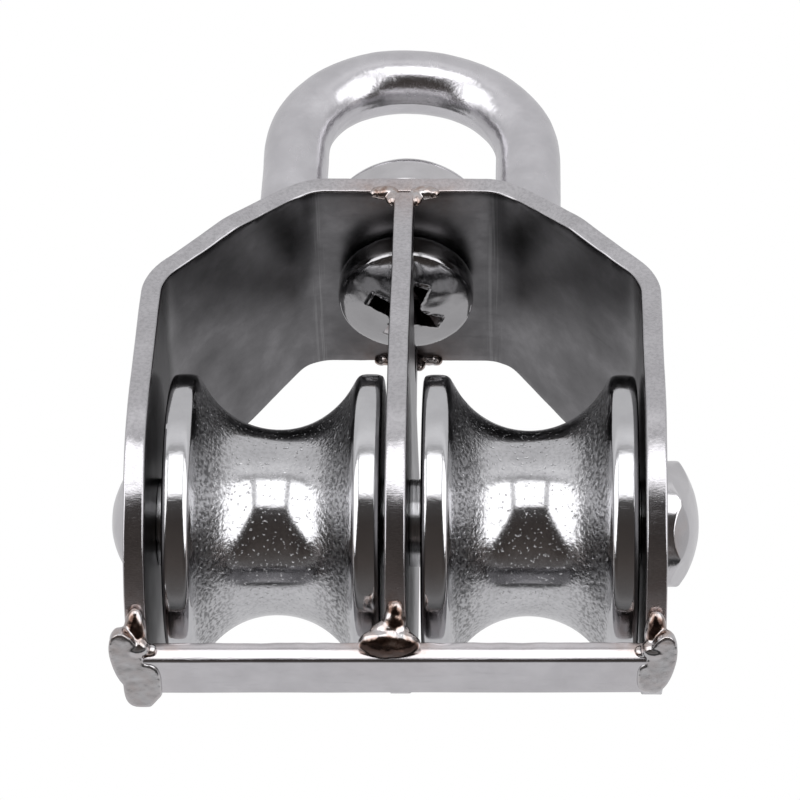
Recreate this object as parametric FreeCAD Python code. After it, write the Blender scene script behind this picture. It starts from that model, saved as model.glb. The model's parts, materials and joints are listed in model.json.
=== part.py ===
"""Double sheave block with a swivel eye, in stainless steel, for cord and thin rope.

The model stands as the block hangs: +Z up to the eye, X along the axle, Y from front to back.
Heights are given from the axle's centre line while the pieces are made. At the end everything
drops by CROWN_INSIDE, so that the origin is the inside crown of the eye, where the block hangs.
"""
import FreeCAD, Part
import math
import os

V = FreeCAD.Vector
X, Y, Z = V(1, 0, 0), V(0, 1, 0), V(0, 0, 1)

# Sheaves
SHEAVE_DIAMETER = 25.0
SHEAVE_WIDTH = 17.8
ROOT_DIAMETER = 15.6
GROOVE_RADIUS = 7.1          # of the round rope groove
RIM_ROUND = 0.7
BORE_CLEARANCE = 0.06        # radial running clearance on the bush
SHEAVE_OFFSET = 0.35         # where each sheave rests in its end play, towards +X

# Folded frame strap
SHEET = 1.7
CHEEK_GAP = 40.4             # between the two cheeks
LOBE_RADIUS = 14.5           # round lower end of each cheek
WEB_HEIGHT = 28.75           # underside of the web above the axle
WEB_DEPTH = 21.7
SHOULDER_DEPTH = 25.0        # front to back where the flare below the web ends
SHOULDER_HEIGHT = 23.5       # of that place
WEB_CORNER = 8.7             # where web and shoulder lines cross, from the middle
CHEEK_CORNER_HEIGHT = 16.6   # where shoulder and cheek lines cross
BEND_RADIUS = 4.5            # inside of each fold

# Divider between the sheaves
DIVIDER_WINDOW = 15.0        # opening around the screw head, front to back
DIVIDER_WINDOW_DEPTH = 7.0   # below the web
DIVIDER_WINDOW_ROUND = 2.0   # of its lower corners

# Bar across the lower ends
BAR_LENGTH = 42.4
BAR_WIDTH = 4.8
BAR_THICKNESS = 1.7
BAR_SETBACK = 0.3            # of the bar's middle behind the axle

# Axle
AXLE_DIAMETER = 6.0
AXLE_HEAD_DIAMETER = 10.6
AXLE_HEAD_EDGE = 1.5         # straight side of the formed right-hand head
AXLE_HEAD_RISE = 3.2
AXLE_DOME_RISE = 2.3         # of the left-hand head
BUSH_DIAMETER = 7.4

# Swivel
SCREW_DIAMETER = 6.0
SCREW_HEAD_DIAMETER = 12.0
SCREW_HEAD_HEIGHT = 4.6
SCREW_HEAD_SIDE = 3.0        # straight side of the pan head
SCREW_REACH = 7.2            # of the shank above the web
RECESS_SPAN = 6.9            # of the cross recess across its wings
RECESS_WING = 1.5
RECESS_DEPTH = 2.6
RECESS_TURN = 25.0
BARREL_DIAMETER = 8.0
BARREL_HEAD_DIAMETER = 14.6
BARREL_HEAD_EDGE = 2.1
BARREL_HEAD_DOME = 4.6
EYE_ROD = 6.0
EYE_HALF_WIDTH = 10.65       # from the middle to a leg's centre line
EYE_BEND = 10.2              # of the rod's centre line at each side of the crown
EYE_TOP = 54.35              # the rod's centre line at the crown, above the axle
EYE_BASE_THICKNESS = 3.0
EYE_BASE_WIDTH = 11.5        # front to back, round the bore
EYE_GAP = 0.2                # between the eye and the web

# Welds between the divider and the web
FILLET_REACH = 2.3           # along the web
FILLET_DROP = 1.1            # down the divider
FILLET_LENGTH = 1.2          # front to back
FILLET_PROUD = 0.2           # of the web's edge
FILLET_HOLLOW = 0.42         # how far its face lies from the corner, as a share of the way to toe and heel

# Welds on the bar, as half sizes along X, Y and Z
CORNER_WELD = V(2.0, 3.4, 1.5)
CENTRE_WELD = V(2.5, 1.7, 1.5)
CENTRE_WELD_NECK = V(1.1, 1.2, 1.7)
DRIP = V(1.4, 2.3, 1.3)      # lump of run metal under the left-hand corner

HALF_GAP = CHEEK_GAP / 2
OUTER_FACE = HALF_GAP + SHEET
WEB_TOP = WEB_HEIGHT + SHEET
BAR_TOP = -LOBE_RADIUS
BAR_FRONT = BAR_SETBACK - BAR_WIDTH / 2
POCKET = HALF_GAP - SHEET / 2
BARREL_SEAT = WEB_TOP + 2 * EYE_GAP + EYE_BASE_THICKNESS
CROWN_INSIDE = EYE_TOP - EYE_ROD / 2


def face_of(edges):
    return Part.Face(Part.Wire(edges))


def polygon(points):
    return Part.makePolygon(points + points[:1])


def rounded_outline(points, radii):
    """Open outline through points, with a tangent arc at each inner point that has a radius."""
    edges = []
    start = points[0]
    for before, corner, after, radius in zip(points, points[1:], points[2:], radii):
        back = (before - corner).normalize()
        ahead = (after - corner).normalize()
        half = back.getAngle(ahead) / 2
        reach = radius / math.tan(half)
        enter = corner + back * reach
        leave = corner + ahead * reach
        inward = (back + ahead).normalize()
        middle = corner + inward * (radius / math.sin(half) - radius)
        edges.append(Part.LineSegment(start, enter).toShape())
        edges.append(Part.Arc(enter, middle, leave).toShape())
        start = leave
    edges.append(Part.LineSegment(start, points[-1]).toShape())
    return edges


def strap_profile(offset):
    """Corners of the folded strip, seen from the front, offset outward from its inside."""
    slope = math.atan2(WEB_HEIGHT - CHEEK_CORNER_HEIGHT, HALF_GAP - WEB_CORNER)
    web_corner = WEB_CORNER + offset * math.tan(slope / 2)
    cheek_corner = CHEEK_CORNER_HEIGHT + offset * math.tan((math.pi / 2 - slope) / 2)
    side = HALF_GAP + offset
    top = WEB_HEIGHT + offset
    right = [(side, -LOBE_RADIUS - 1), (side, cheek_corner), (web_corner, top)]
    left = [(-x, z) for x, z in reversed(right)]
    return [V(x, 0, z) for x, z in right + left]


def taper(half_width, height):
    """Angle of a straight edge from the lobe's tangent point to half_width at height."""
    reach = math.hypot(half_width, height)
    return math.atan2(height, half_width) - math.acos(LOBE_RADIUS / reach)


def side_outline(angle, top):
    """Plate seen from the side: round lobe about the axle, and straight tapered edges up to top."""
    half_width = LOBE_RADIUS / math.cos(angle) - top * math.tan(angle)
    touch = V(0, LOBE_RADIUS * math.cos(angle), LOBE_RADIUS * math.sin(angle))
    far_touch = V(0, -touch.y, touch.z)
    corners = [touch, V(0, half_width, top), V(0, -half_width, top), far_touch]
    edges = [Part.LineSegment(a, b).toShape() for a, b in zip(corners, corners[1:])]
    edges.append(Part.Arc(far_touch, V(0, 0, -LOBE_RADIUS), touch).toShape())
    return edges


def make_strap():
    """One folded strip: web, sloping shoulders and cheeks, narrowest at the web."""
    inside = rounded_outline(strap_profile(0.0), [BEND_RADIUS] * 4)
    outside = rounded_outline(strap_profile(SHEET), [BEND_RADIUS + SHEET] * 4)
    ends = [Part.LineSegment(inside[0].Vertexes[0].Point, outside[0].Vertexes[0].Point).toShape(),
            Part.LineSegment(inside[-1].Vertexes[-1].Point, outside[-1].Vertexes[-1].Point).toShape()]
    strip = face_of(Part.__sortEdges__(inside + ends + outside))
    strip.translate(V(0, -2 * LOBE_RADIUS, 0))
    strip = strip.extrude(Y * 4 * LOBE_RADIUS)
    shoulder = math.hypot(HALF_GAP - WEB_CORNER, WEB_HEIGHT - CHEEK_CORNER_HEIGHT)
    angle = taper(WEB_DEPTH / 2, CHEEK_CORNER_HEIGHT + shoulder)
    cheek_width = LOBE_RADIUS / math.cos(angle) - CHEEK_CORNER_HEIGHT * math.tan(angle)
    cheek = face_of(side_outline(angle, CHEEK_CORNER_HEIGHT)).extrude(X * 4 * HALF_GAP)
    half = [(cheek_width, CHEEK_CORNER_HEIGHT), (SHOULDER_DEPTH / 2, SHOULDER_HEIGHT),
            (WEB_DEPTH / 2, WEB_HEIGHT), (WEB_DEPTH / 2, WEB_TOP + 1)]
    upper = [V(0, y, z) for y, z in half] + [V(0, -y, z) for y, z in reversed(half)]
    upper = Part.Face(polygon(upper)).extrude(X * 4 * HALF_GAP)
    side_view = cheek.fuse(upper).removeSplitter()
    side_view.translate(X * -2 * HALF_GAP)
    strap = strip.common(side_view)
    strap = strap.cut(Part.makeCylinder(AXLE_DIAMETER / 2, 4 * HALF_GAP, X * -2 * HALF_GAP, X))
    return strap.cut(Part.makeCylinder(SCREW_DIAMETER / 2, 3 * SHEET, Z * (WEB_HEIGHT - SHEET), Z))


def make_centre_plate():
    """Divider from the web to the bar, with a window that leaves room for the screw head."""
    angle = taper(WEB_DEPTH / 2, WEB_HEIGHT)
    plate = face_of(side_outline(angle, WEB_HEIGHT)).extrude(X * SHEET)
    plate.translate(X * -SHEET / 2)
    window = Part.makeBox(3 * SHEET, DIVIDER_WINDOW, DIVIDER_WINDOW_DEPTH + 1,
                          V(-1.5 * SHEET, -DIVIDER_WINDOW / 2, WEB_HEIGHT - DIVIDER_WINDOW_DEPTH))
    corners = [edge for edge in window.Edges if abs(edge.Vertexes[0].X - edge.Vertexes[1].X) > SHEET
               and edge.Vertexes[0].Z < WEB_HEIGHT - 1]
    window = window.makeFillet(DIVIDER_WINDOW_ROUND, corners)
    axle = Part.makeCylinder(AXLE_DIAMETER / 2, 3 * SHEET, X * -1.5 * SHEET, X)
    return plate.cut(window).cut(axle)


def make_bottom_bar():
    """Flat bar with rounded edges, laid across the lower ends of the cheeks and the divider."""
    corner = V(-BAR_LENGTH / 2, BAR_FRONT, BAR_TOP - BAR_THICKNESS)
    bar = Part.makeBox(BAR_LENGTH, BAR_WIDTH, BAR_THICKNESS, corner)
    long_edges = [edge for edge in bar.Edges if edge.Length > BAR_WIDTH + 1]
    return bar.makeFillet(BAR_THICKNESS * 0.3, long_edges)


def make_sheave(centre):
    """Turned profile: two round-edged rims and a round rope groove, on a plain bore."""
    half = SHEAVE_WIDTH / 2
    bore = BUSH_DIAMETER / 2 + BORE_CLEARANCE
    rim = SHEAVE_DIAMETER / 2
    groove_centre = ROOT_DIAMETER / 2 + GROOVE_RADIUS
    mouth = math.sqrt(GROOVE_RADIUS ** 2 - (groove_centre - rim) ** 2)
    corners = [V(-half, 0, bore), V(half, 0, bore), V(half, 0, rim), V(-half, 0, rim)]
    blank = Part.Face(polygon(corners)).revolve(V(0, 0, 0), X, 360)
    groove = Part.makeTorus(groove_centre, GROOVE_RADIUS, V(0, 0, 0), X)
    sheave = blank.cut(groove)
    mouth_edges = []
    face_edges = []
    for edge in sheave.Edges:
        if not isinstance(edge.Curve, Part.Circle) or abs(edge.Curve.Radius - rim) > 0.01:
            continue
        place = abs(edge.Curve.Center.x)
        if abs(place - mouth) < 0.05:
            mouth_edges.append(edge)
        elif abs(place - half) < 0.05:
            face_edges.append(edge)
    sheave = sheave.makeFillet(RIM_ROUND, mouth_edges + face_edges)
    sheave.translate(V(centre, 0, 0))
    return sheave


def make_bush(side):
    """Plain sleeve on the axle, clamped between the divider and one cheek."""
    start = SHEET / 2 if side > 0 else -HALF_GAP
    outer = Part.makeCylinder(BUSH_DIAMETER / 2, POCKET, V(start, 0, 0), X)
    return outer.cut(Part.makeCylinder(AXLE_DIAMETER / 2, POCKET, V(start, 0, 0), X))


def dome(base, radius, rise, direction):
    """Spherical cap with its flat side at base."""
    sphere_radius = (radius ** 2 + rise ** 2) / (2 * rise)
    ball = Part.makeSphere(sphere_radius, base + direction * (rise - sphere_radius))
    return ball.common(Part.makeCylinder(radius, rise + 1, base, direction))


def make_axle():
    """Rivet through cheeks, bushes and divider: factory dome at the left, formed head at the right."""
    head = AXLE_HEAD_DIAMETER / 2
    shank = Part.makeCylinder(AXLE_DIAMETER / 2, 2 * OUTER_FACE, X * -OUTER_FACE, X)
    left = dome(X * -OUTER_FACE, head, AXLE_DOME_RISE, -X)
    side = Part.makeCylinder(head, AXLE_HEAD_EDGE, X * OUTER_FACE, X)
    right = dome(X * (OUTER_FACE + AXLE_HEAD_EDGE), head, AXLE_HEAD_RISE - AXLE_HEAD_EDGE, X)
    return shank.fuse([left, side, right]).removeSplitter()


def make_screw():
    """Pan-head screw with a cross recess, its head under the web."""
    head = SCREW_HEAD_DIAMETER / 2
    seat = V(0, 0, WEB_HEIGHT)
    side = Part.makeCylinder(head, SCREW_HEAD_SIDE, seat, -Z)
    crown = dome(seat - Z * SCREW_HEAD_SIDE, head, SCREW_HEAD_HEIGHT - SCREW_HEAD_SIDE, -Z)
    shank = Part.makeCylinder(SCREW_DIAMETER / 2, SCREW_REACH, seat, Z)
    screw = side.fuse([crown, shank]).removeSplitter()
    tip = WEB_HEIGHT - SCREW_HEAD_HEIGHT
    for turn in (RECESS_TURN, RECESS_TURN + 90):
        wing = Part.makeBox(RECESS_SPAN, RECESS_WING, RECESS_DEPTH + 1,
                            V(-RECESS_SPAN / 2, -RECESS_WING / 2, tip - 1))
        wing.rotate(V(0, 0, 0), Z, turn)
        screw = screw.cut(wing)
    return screw


def make_barrel():
    """Threaded barrel that the eye turns on, with a domed head inside the eye."""
    head = BARREL_HEAD_DIAMETER / 2
    seat = V(0, 0, BARREL_SEAT)
    barrel = Part.makeCylinder(BARREL_DIAMETER / 2, BARREL_SEAT - WEB_TOP, V(0, 0, WEB_TOP), Z)
    edge = Part.makeCylinder(head, BARREL_HEAD_EDGE, seat, Z)
    crown = dome(seat + Z * BARREL_HEAD_EDGE, head, BARREL_HEAD_DOME, Z)
    hole = Part.makeCylinder(SCREW_DIAMETER / 2, SCREW_REACH - SHEET, V(0, 0, WEB_TOP), Z)
    return barrel.fuse([edge, crown]).removeSplitter().cut(hole)


def make_eye():
    """Cast eye: rod round the crown and down both legs, and a bored base that turns on the barrel."""
    rod = EYE_ROD / 2
    base_bottom = WEB_TOP + EYE_GAP
    foot = base_bottom + EYE_BASE_THICKNESS / 2
    line = [V(EYE_HALF_WIDTH, 0, foot), V(EYE_HALF_WIDTH, 0, EYE_TOP),
            V(-EYE_HALF_WIDTH, 0, EYE_TOP), V(-EYE_HALF_WIDTH, 0, foot)]
    path = Part.Wire(rounded_outline(line, [EYE_BEND] * 2))
    section = Part.Wire([Part.Circle(line[0], Z, rod).toShape()])
    rod_solid = path.makePipeShell([section], True, True)
    length = 2 * (EYE_HALF_WIDTH + rod)
    base = Part.makeBox(length, EYE_ROD, EYE_BASE_THICKNESS, V(-length / 2, -rod, base_bottom))
    uprights = [edge for edge in base.Edges
                if abs(edge.Vertexes[0].Z - edge.Vertexes[1].Z) > EYE_BASE_THICKNESS / 2]
    base = base.makeFillet(rod * 0.95, uprights)
    boss = Part.makeCylinder(EYE_BASE_WIDTH / 2, EYE_BASE_THICKNESS, Z * base_bottom, Z)
    eye = base.fuse([boss, rod_solid]).removeSplitter()
    bore = Part.makeCylinder(BARREL_DIAMETER / 2 + BORE_CLEARANCE, 3 * EYE_BASE_THICKNESS,
                             Z * (base_bottom - EYE_BASE_THICKNESS), Z)
    return eye.cut(bore)


def divider_weld(side, end):
    """Hollow fillet in the corner between the divider and the web, at one side of one edge."""
    corner = V(side * SHEET / 2, end * (WEB_DEPTH / 2 + FILLET_PROUD), WEB_HEIGHT)
    toe = corner + X * side * FILLET_REACH
    heel = corner - Z * FILLET_DROP
    hollow = corner + V(side * FILLET_REACH, 0, -FILLET_DROP) * FILLET_HOLLOW
    outline = [Part.LineSegment(corner, toe).toShape(), Part.Arc(toe, hollow, heel).toShape(),
               Part.LineSegment(heel, corner).toShape()]
    return face_of(outline).extrude(Y * -end * FILLET_LENGTH)


def bead(centre, half_sizes):
    """Run of weld metal, as an ellipsoid."""
    stretch = FreeCAD.Matrix()
    stretch.scale(half_sizes)
    metal = Part.makeSphere(1.0).transformGeometry(stretch)
    metal.translate(centre)
    return metal


def corner_weld(side):
    """Metal melted over the bar's end and the front of one cheek's lobe."""
    centre = V(side * (OUTER_FACE - 1.0), BAR_FRONT, BAR_TOP - 0.85)
    metal = bead(centre, CORNER_WELD)
    if side < 0:
        metal = metal.fuse(bead(centre + V(-0.1, 4.0, -0.55), DRIP)).removeSplitter()
    return metal


def centre_weld():
    """Metal on the bar's front edge, with a neck up the divider's lobe."""
    foot = bead(V(-0.5, BAR_FRONT - 0.9, BAR_TOP - 0.5), CENTRE_WELD)
    neck = bead(V(0, BAR_FRONT - 2.4, BAR_TOP + 0.7), CENTRE_WELD_NECK)
    return foot.fuse(neck).removeSplitter()


strap = make_strap()
plate = make_centre_plate()
bar = make_bottom_bar()
welds = {}
for side_name, side in (("left", -1), ("right", 1)):
    for end_name, end in (("front", -1), ("rear", 1)):
        welds[f"weld_divider_{end_name}_{side_name}"] = divider_weld(side, end)
    weld = corner_weld(side)
    strap = strap.cut(weld)
    bar = bar.cut(weld)
    welds[f"weld_bar_{side_name}"] = weld
weld = centre_weld()
plate = plate.cut(weld)
bar = bar.cut(weld)
welds["weld_bar_centre"] = weld

parts = {
    "frame_strap": strap,
    "centre_plate": plate,
    "bottom_bar": bar,
    "axle_rivet": make_axle(),
    "swivel_screw": make_screw(),
    "swivel_barrel": make_barrel(),
    "swivel_eye": make_eye(),
    **welds,
}
for side_name, side in (("left", -1), ("right", 1)):
    pocket_middle = side * (SHEET + POCKET) / 2
    parts[f"sheave_{side_name}"] = make_sheave(pocket_middle + SHEAVE_OFFSET)
    parts[f"bush_{side_name}"] = make_bush(side)

os.makedirs("parts", exist_ok=True)
for name, shape in parts.items():
    shape.translate(Z * -CROWN_INSIDE)
    shape.exportStep(f"parts/{name}.step")
    print(f"{name}: solids {len(shape.Solids)}, valid {shape.isValid()}, volume {shape.Volume:.1f}")
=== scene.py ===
"""Double sheave block in stainless steel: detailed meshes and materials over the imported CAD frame.

Shapes are worked out in millimetres. Their origin is on the axle's centre line, in the middle of
the divider, and the meshes are written in metres in the row frame.
"""
import json
import math

import bmesh
import bpy
import numpy as np
from mathutils import Matrix, Vector, geometry, kdtree, noise


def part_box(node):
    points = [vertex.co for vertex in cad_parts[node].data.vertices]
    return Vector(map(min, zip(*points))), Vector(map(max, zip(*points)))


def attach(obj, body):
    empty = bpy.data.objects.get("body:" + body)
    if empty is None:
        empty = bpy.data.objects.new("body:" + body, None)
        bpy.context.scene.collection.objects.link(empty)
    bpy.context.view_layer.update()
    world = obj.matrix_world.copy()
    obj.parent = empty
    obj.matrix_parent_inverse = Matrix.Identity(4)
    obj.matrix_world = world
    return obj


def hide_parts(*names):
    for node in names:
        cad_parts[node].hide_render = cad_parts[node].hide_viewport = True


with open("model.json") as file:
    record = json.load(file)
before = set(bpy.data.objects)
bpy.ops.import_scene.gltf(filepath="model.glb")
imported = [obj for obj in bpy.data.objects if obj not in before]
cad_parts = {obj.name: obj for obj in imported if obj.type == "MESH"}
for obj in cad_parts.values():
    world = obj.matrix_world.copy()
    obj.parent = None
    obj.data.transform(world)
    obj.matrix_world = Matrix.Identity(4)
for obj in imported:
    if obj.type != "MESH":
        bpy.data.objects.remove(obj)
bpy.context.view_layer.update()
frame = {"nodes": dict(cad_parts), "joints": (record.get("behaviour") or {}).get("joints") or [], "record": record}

MM = 0.001
JOINTS = {joint["name"]: Vector(joint["pos_m"]) for joint in frame["joints"]}
AXLE = Vector((0, 0, JOINTS["sheave_left_spin"].z))
BODY_OF = {node: body for body, nodes in frame["record"]["behaviour"]["bodies"].items() for node in nodes}


def box_mm(node):
    """Lowest and highest corner of a CAD node, in millimetres from the axle."""
    low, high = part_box(node)
    return np.array(low - AXLE) / MM, np.array(high - AXLE) / MM


# Places and sizes read from the frame, in millimetres
STRAP_LOW, STRAP_HIGH = box_mm("frame_strap")
PLATE_LOW, PLATE_HIGH = box_mm("centre_plate")
BAR_LOW, BAR_HIGH = box_mm("bottom_bar")
EYE_LOW, EYE_HIGH = box_mm("swivel_eye")
SCREW_LOW, SCREW_HIGH = box_mm("swivel_screw")
BARREL_LOW, BARREL_HIGH = box_mm("swivel_barrel")
RIVET_LOW, RIVET_HIGH = box_mm("axle_rivet")
SHEET = PLATE_HIGH[0] - PLATE_LOW[0]
OUTER_FACE = (STRAP_HIGH[0] - STRAP_LOW[0]) / 2
HALF_GAP = OUTER_FACE - SHEET
WEB_TOP = STRAP_HIGH[2]
WEB_HEIGHT = WEB_TOP - SHEET
SKIN = 0.02                   # how far rounded surfaces stay inside the CAD shape
LOBE_RADIUS = -PLATE_LOW[2] - SKIN

# Folded strap
WEB_DEPTH = 21.7
SHOULDER_DEPTH = 25.0
SHOULDER_HEIGHT = 23.5
WEB_CORNER = 8.7
CHEEK_CORNER_HEIGHT = 16.6
BEND_RADIUS = 4.5
HOLE_RADIUS = 3.0
WINDOW_HALF = 7.5
WINDOW_DEPTH = 7.0
WINDOW_ROUND = 2.0

# Sheaves
ROOT_RADIUS = 7.8
GROOVE_RADIUS = 7.1
BUSH_RADIUS = 3.7
BORE_CLEARANCE = 0.06

# Swivel
SCREW_HEAD_SIDE = 3.0
RECESS_HALF_SPAN = 3.45
RECESS_HALF_WING = 0.75
RECESS_DEPTH = 2.6
RECESS_TURN = math.radians(25)
BARREL_RADIUS = 4.0
BARREL_HEAD_EDGE = 2.1
BARREL_HEAD_DOME = 4.6
EYE_HALF_WIDTH = 10.65        # from the middle to a leg's centre line
EYE_ROD = EYE_HIGH[0] - EYE_HALF_WIDTH
EYE_BEND = 10.2
EYE_BASE_THICKNESS = 3.0
RIVET_HEAD_RADIUS = (RIVET_HIGH[1] - RIVET_LOW[1]) / 2
RIVET_HEAD_SIDE = 1.5


# How this block was made: small departures from true
STRAP_ASKEW = 0.4             # of the strap's shoulders, towards the rear
ASKEW_HEIGHT = 20.0           # where that is greatest
DIVIDER_LEAN = 0.052          # of the divider's rear part, for each millimetre behind DIVIDER_LEAN_START
DIVIDER_LEAN_START = 4.0
BAR_FRONT_LEAN = 0.48         # of the bar's front edge, back towards the lower face
BAR_YAW = 0.009               # of the bar, as a slope
EYE_TURN = math.radians(3)    # of the eye on its swivel
EYE_LEAN = 0.35
LOBE_FLAT = ((0, 0.676, -0.737), 14.1)  # slight flat at the lower rear of each lobe
GROUND_SLOPE = 0.1            # of the ground face under the corner welds, down towards the rear
SHEET_ROUND = 0.2             # of the edges of sawn rims

WELD_DISTANCE = 0.002         # points nearer than this are joined
WELD_NODES = [name for name in frame["nodes"] if name.startswith("weld_")]


# ---------------------------------------------------------------- outlines

def arc(centre, radius, start, end, count=48):
    """Points of an arc between two angles in degrees."""
    turn = np.radians(np.linspace(start, end, count))
    return np.column_stack([centre[0] + radius * np.cos(turn), centre[1] + radius * np.sin(turn)])


def resampled(points, step, closed):
    """Points at even distances of about step along a polyline."""
    points = np.asarray(points, float)
    if closed:
        points = np.vstack([points, points[:1]])
    runs = np.linalg.norm(np.diff(points, axis=0), axis=1)
    reach = np.concatenate([[0], np.cumsum(runs)])
    count = max(4, int(round(reach[-1] / step)))
    marks = np.linspace(0, reach[-1], count + 1)
    if closed:
        marks = marks[:-1]
    return np.column_stack([np.interp(marks, reach, axis) for axis in points.T])


def softened(points, step, blur, closed=True):
    """The polyline resampled, with its corners rounded by a blur of that width."""
    points = resampled(points, step, closed)
    reach = min(int(3 * blur / step) + 1, len(points) - 2)
    weights = np.exp(-0.5 * (np.arange(-reach, reach + 1) * step / blur) ** 2)
    weights /= weights.sum()
    if closed:
        padded = np.concatenate([points[-reach:], points, points[:reach]])
    else:
        head = 2 * points[0] - points[reach:0:-1]
        tail = 2 * points[-1] - points[-2:-reach - 2:-1]
        padded = np.concatenate([head, points, tail])
    return np.column_stack([np.convolve(axis, weights, "valid") for axis in padded.T])


def inside(points, loop):
    """Whether each point lies inside a closed loop."""
    x, y = points[:, :1], points[:, 1:]
    ax, ay = loop.T
    bx, by = np.roll(loop, -1, axis=0).T
    spans = (ay > y) != (by > y)
    rise = np.where(by == ay, 1e-12, by - ay)
    crossing = ax + (y - ay) * (bx - ax) / rise
    return (spans & (x < crossing)).sum(axis=1) % 2 == 1


# ---------------------------------------------------------------- meshes in millimetres

def grid_faces(rows, columns, start=0, close_rows=False, close_columns=True):
    """Quads of a grid of points stored row by row."""
    faces = []
    for row in range(rows if close_rows else rows - 1):
        below = (row + 1) % rows
        for column in range(columns if close_columns else columns - 1):
            beside = (column + 1) % columns
            corners = (row, column), (row, beside), (below, beside), (below, column)
            faces.append([start + r * columns + c for r, c in corners])
    return faces


def solid(points, faces, **attributes):
    """Closed mesh with doubled points joined, its faces turned outward, and values for each point."""
    mesh = bpy.data.meshes.new("solid")
    mesh.from_pydata(np.asarray(points, float).tolist(), [], faces)
    for name, values in attributes.items():
        mark(mesh, name, values)
    shell = bmesh.new()
    shell.from_mesh(mesh)
    bmesh.ops.remove_doubles(shell, verts=shell.verts, dist=WELD_DISTANCE)
    bmesh.ops.dissolve_degenerate(shell, edges=shell.edges, dist=WELD_DISTANCE / 4)
    bmesh.ops.recalc_face_normals(shell, faces=shell.faces)
    shell.to_mesh(mesh)
    shell.free()
    return mesh


def points_of(mesh):
    values = np.empty(len(mesh.vertices) * 3)
    mesh.vertices.foreach_get("co", values)
    return values.reshape(-1, 3)


def normals_of(mesh):
    values = np.empty(len(mesh.vertices) * 3)
    mesh.vertex_normals.foreach_get("vector", values)
    return values.reshape(-1, 3)


def move_points(mesh, points):
    mesh.vertices.foreach_set("co", np.asarray(points, float).ravel())
    mesh.update()
    return mesh


def mark(mesh, name, values):
    """Stores a value for each point, which the materials read."""
    mesh.attributes.new(name, "FLOAT", "POINT").data.foreach_set("value", np.asarray(values, float))


def swell(mesh, heights):
    """Moves each point along its normal."""
    return move_points(mesh, points_of(mesh) + normals_of(mesh) * np.asarray(heights)[:, None])


def lumps(points, size, seed):
    """Smooth noise of about -1 to 1 at each point, with lumps of that size."""
    places = np.asarray(points) / size + 17.3 * seed
    return np.array([noise.noise(Vector(place)) for place in places]) * 1.4


def evaluated(mesh, *modifiers):
    """The mesh after modifiers, each a (type, settings) pair."""
    thing = bpy.data.objects.new("evaluated", mesh)
    bpy.context.scene.collection.objects.link(thing)
    for kind, settings in modifiers:
        modifier = thing.modifiers.new(kind, kind)
        for name, value in settings.items():
            setattr(modifier, name, value)
    graph = bpy.context.evaluated_depsgraph_get()
    result = bpy.data.meshes.new_from_object(thing.evaluated_get(graph))
    bpy.data.objects.remove(thing)
    return result


def joined(meshes):
    """Several meshes as one."""
    shell = bmesh.new()
    for mesh in meshes:
        shell.from_mesh(mesh)
    result = bpy.data.meshes.new("joined")
    shell.to_mesh(result)
    shell.free()
    return result


def fused(meshes, voxel, rounds):
    """One cast skin over overlapping meshes, with its corners run together."""
    remesh = ("REMESH", {"mode": "VOXEL", "voxel_size": voxel})
    smooth = ("SMOOTH", {"factor": 0.5, "iterations": rounds})
    return evaluated(joined(meshes), remesh, smooth)


def carved(mesh, cutter):
    """The mesh less the cutter."""
    tool = bpy.data.objects.new("cutter", cutter)
    bpy.context.scene.collection.objects.link(tool)
    cut = ("BOOLEAN", {"operation": "DIFFERENCE", "solver": "EXACT", "object": tool})
    result = evaluated(mesh, cut)
    bpy.data.objects.remove(tool)
    return result


def turned(profile, sides, axis, closed=False):
    """Solid of revolution of a profile of (place along the axis, radius) about X or Z."""
    turn = np.linspace(0, 2 * math.pi, sides, endpoint=False)
    along = np.repeat(profile[:, 0], sides)
    radius = np.repeat(profile[:, 1], sides)
    first = radius * np.tile(np.cos(turn), len(profile))
    second = radius * np.tile(np.sin(turn), len(profile))
    points = [along, first, second] if axis == "X" else [first, second, along]
    return solid(np.column_stack(points), grid_faces(len(profile), sides, close_rows=closed))


def ellipsoid(centre, half_sizes, turn=(0, 0, 0), roundness=1.0):
    """Ball stretched along its axes, squarer with less roundness, then turned by degrees about each."""
    profile = arc((0, 0), 1.0, 180, 0, 33)
    ball = turned(profile, 48, "Z")
    points = points_of(ball)
    points = np.sign(points) * np.abs(points) ** roundness * np.asarray(half_sizes)
    for angle, axis in zip(turn, "XYZ"):
        points = points @ np.array(Matrix.Rotation(math.radians(angle), 3, axis)).T
    return move_points(ball, points + np.asarray(centre))


def tube(line, radii, sides=64):
    """Round rod along a line in the X and Z plane, with a radius across X-Z and one along Y."""
    ahead = np.gradient(line, axis=0)
    ahead /= np.linalg.norm(ahead, axis=1)[:, None]
    across = np.column_stack([ahead[:, 2], np.zeros(len(line)), -ahead[:, 0]])
    turn = np.linspace(0, 2 * math.pi, sides, endpoint=False)
    rings = (line[:, None, :] + across[:, None, :] * (radii[0] * np.cos(turn))[None, :, None]
             + np.array([0, 1, 0]) * (radii[1] * np.sin(turn))[None, :, None])
    faces = grid_faces(len(line), sides)
    faces.append(list(range(sides))[::-1])
    faces.append(list(range((len(line) - 1) * sides, len(line) * sides)))
    return solid(rings.reshape(-1, 3), faces)


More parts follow.
